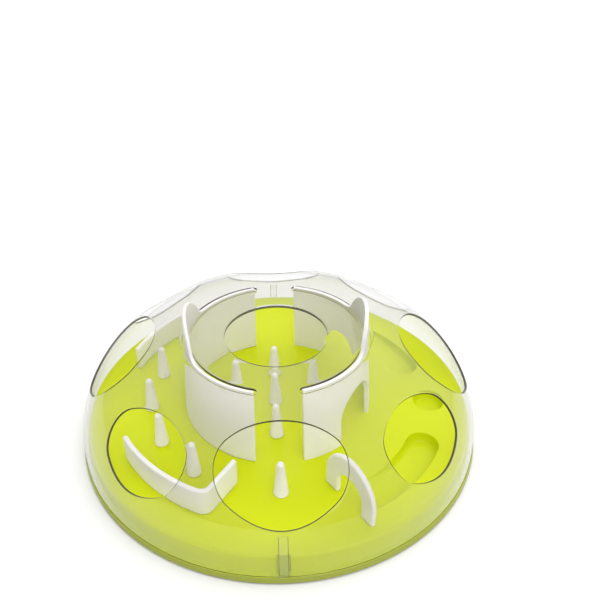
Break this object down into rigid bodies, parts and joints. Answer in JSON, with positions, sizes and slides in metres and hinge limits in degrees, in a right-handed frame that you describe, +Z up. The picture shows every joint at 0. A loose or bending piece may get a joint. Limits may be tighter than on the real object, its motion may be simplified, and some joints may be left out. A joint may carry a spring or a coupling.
{
  "type": "cat puzzle feeder",
  "caption": "Round puzzle feeder for cats: green tray with food troughs, white pegs, barriers and eared wall panels under a clear domed cover with paw openings",
  "frame": {"origin": "on the resting surface, under the middle of the round tray", "axes": "+Z up, -Y towards the front of the picture, +X to its right"},
  "size_m": [0.3789, 0.379, 0.1307],
  "materials": {
    "tray_green": "smooth moulded",
    "cover_clear": "clear polished",
    "part_white": "smooth moulded",
    "foot_rubber": "matte"
  },
  "bodies": {
    "tray": {"base_tray": "tray_green", "foot_1": "foot_rubber", "foot_2": "foot_rubber", "foot_3": "foot_rubber", "foot_4": "foot_rubber", "foot_5": "foot_rubber", "foot_6": "foot_rubber"},
    "cover": {"clear_cover": "cover_clear"},
    "left_wall_panel_body": {"left_wall_panel": "part_white"},
    "right_wall_panel_body": {"right_wall_panel": "part_white"},
    "corner_barrier_body": {"corner_barrier": "part_white"},
    "rear_barrier_body": {"rear_barrier": "part_white"},
    "arch_gate_body": {"arch_gate": "part_white"},
    "peg_1_body": {"peg_1": "part_white"},
    "peg_2_body": {"peg_2": "part_white"},
    "peg_3_body": {"peg_3": "part_white"},
    "peg_4_body": {"peg_4": "part_white"},
    "peg_5_body": {"peg_5": "part_white"},
    "peg_6_body": {"peg_6": "part_white"},
    "peg_7_body": {"peg_7": "part_white"},
    "peg_8_body": {"peg_8": "part_white"},
    "peg_9_body": {"peg_9": "part_white"},
    "peg_10_body": {"peg_10": "part_white"},
    "peg_11_body": {"peg_11": "part_white"},
    "peg_12_body": {"peg_12": "part_white"}
  },
  "joints": [
    {"name": "cover_lift", "type": "slide", "parent": "tray", "child": "cover", "axis": [0, 0, 1], "range_m": [0, 0.14]},
    {"name": "left_wall_panel_pull", "type": "slide", "parent": "tray", "child": "left_wall_panel_body", "axis": [0, 0, 1], "range_m": [0, 0.0042]},
    {"name": "right_wall_panel_pull", "type": "slide", "parent": "tray", "child": "right_wall_panel_body", "axis": [0, 0, 1], "range_m": [0, 0.0042]},
    {"name": "corner_barrier_pull", "type": "slide", "parent": "tray", "child": "corner_barrier_body", "axis": [0, 0, 1], "range_m": [0, 0.0042]},
    {"name": "rear_barrier_pull", "type": "slide", "parent": "tray", "child": "rear_barrier_body", "axis": [0, 0, 1], "range_m": [0, 0.0042]},
    {"name": "arch_gate_pull", "type": "slide", "parent": "tray", "child": "arch_gate_body", "axis": [0, 0, 1], "range_m": [0, 0.0042]},
    {"name": "peg_1_pull", "type": "slide", "parent": "tray", "child": "peg_1_body", "axis": [0, 0, 1], "range_m": [0, 0.0042]},
    {"name": "peg_2_pull", "type": "slide", "parent": "tray", "child": "peg_2_body", "axis": [0, 0, 1], "range_m": [0, 0.0042]},
    {"name": "peg_3_pull", "type": "slide", "parent": "tray", "child": "peg_3_body", "axis": [0, 0, 1], "range_m": [0, 0.0042]},
    {"name": "peg_4_pull", "type": "slide", "parent": "tray", "child": "peg_4_body", "axis": [0, 0, 1], "range_m": [0, 0.0042]},
    {"name": "peg_5_pull", "type": "slide", "parent": "tray", "child": "peg_5_body", "axis": [0, 0, 1], "range_m": [0, 0.0042]},
    {"name": "peg_6_pull", "type": "slide", "parent": "tray", "child": "peg_6_body", "axis": [0, 0, 1], "range_m": [0, 0.0042]},
    {"name": "peg_7_pull", "type": "slide", "parent": "tray", "child": "peg_7_body", "axis": [0, 0, 1], "range_m": [0, 0.0042]},
    {"name": "peg_8_pull", "type": "slide", "parent": "tray", "child": "peg_8_body", "axis": [0, 0, 1], "range_m": [0, 0.0042]},
    {"name": "peg_9_pull", "type": "slide", "parent": "tray", "child": "peg_9_body", "axis": [0, 0, 1], "range_m": [0, 0.0042]},
    {"name": "peg_10_pull", "type": "slide", "parent": "tray", "child": "peg_10_body", "axis": [0, 0, 1], "range_m": [0, 0.0042]},
    {"name": "peg_11_pull", "type": "slide", "parent": "tray", "child": "peg_11_body", "axis": [0, 0, 1], "range_m": [0, 0.0042]},
    {"name": "peg_12_pull", "type": "slide", "parent": "tray", "child": "peg_12_body", "axis": [0, 0, 1], "range_m": [0, 0.0042]}
  ]
}
